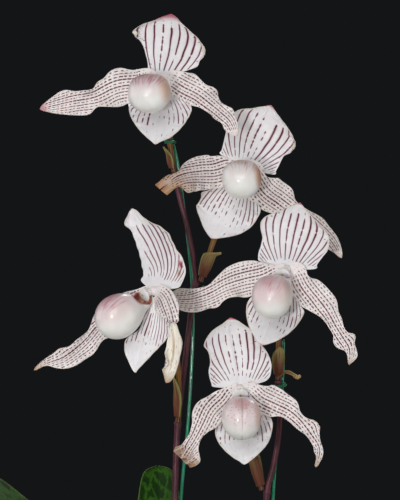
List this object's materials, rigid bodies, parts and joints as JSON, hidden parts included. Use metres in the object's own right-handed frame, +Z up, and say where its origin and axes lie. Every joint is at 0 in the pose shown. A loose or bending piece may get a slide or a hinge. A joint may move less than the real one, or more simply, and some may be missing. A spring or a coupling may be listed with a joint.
{
  "type": "potted paphiopedilum orchid",
  "caption": "Slipper orchid in a plain round pot: striped white flowers on staked maroon stems over fans of mottled strap leaves.",
  "frame": {"origin": "centre of the pot's flat underside", "axes": "+Z up along the flower stems, -Y towards the viewer who sees the flowers' faces, +X to that viewer's right"},
  "size_m": [0.2926, 0.2135, 0.518],
  "materials": {
    "petal": "thin satin petal, white with fine dark maroon lines along the veins",
    "pouch": "glossy waxy skin, white with a pink blush at the mouth",
    "column": "waxy cream",
    "ovary": "green-brown to maroon, finely haired",
    "bract": "dry olive sheath",
    "stem": "dark maroon, finely haired",
    "stake": "green plastic-coated wire",
    "tie": "bright green plastic-coated tie wire",
    "leaf": "leathery leaf, mottled dark and mid green",
    "pot": "plain moulded plastic, clay coloured, matt",
    "mix": "damp bark chips"
  },
  "bodies": {
    "root": {"flower_1_dorsal": "petal", "flower_1_synsepal": "petal", "flower_1_petal_left": "petal", "flower_1_petal_right": "petal", "flower_1_pouch": "pouch", "flower_1_column": "column", "flower_1_ovary": "ovary", "flower_1_bract": "bract", "flower_2_dorsal": "petal", "flower_2_synsepal": "petal", "flower_2_petal_left": "petal", "flower_2_petal_right": "petal", "flower_2_pouch": "pouch", "flower_2_column": "column", "flower_2_ovary": "ovary", "flower_2_bract": "bract", "flower_3_dorsal": "petal", "flower_3_synsepal": "petal", "flower_3_petal_left": "petal", "flower_3_petal_right": "petal", "flower_3_pouch": "pouch", "flower_3_column": "column", "flower_3_ovary": "ovary", "flower_3_bract": "bract", "flower_4_dorsal": "petal", "flower_4_synsepal": "petal", "flower_4_petal_left": "petal", "flower_4_petal_right": "petal", "flower_4_pouch": "pouch", "flower_4_column": "column", "flower_4_ovary": "ovary", "flower_4_bract": "bract", "flower_5_dorsal": "petal", "flower_5_synsepal": "petal", "flower_5_petal_left": "petal", "flower_5_petal_right": "petal", "flower_5_pouch": "pouch", "flower_5_column": "column", "flower_5_ovary": "ovary", "flower_5_bract": "bract", "flower_stem_left": "stem", "flower_stem_right": "stem", "stake_left": "stake", "stake_right": "stake", "tie_top": "tie", "tie_middle": "tie", "tie_right": "tie", "leaf_left_tall": "leaf", "leaf_left_long": "leaf", "leaf_left_low": "leaf", "leaf_back_left": "leaf", "leaf_front_left": "leaf", "leaf_right_tall": "leaf", "leaf_right_low": "leaf", "leaf_front_right": "leaf", "leaf_back_right": "leaf", "pot": "pot", "potting_mix": "mix"}
  },
  "joints": []
}
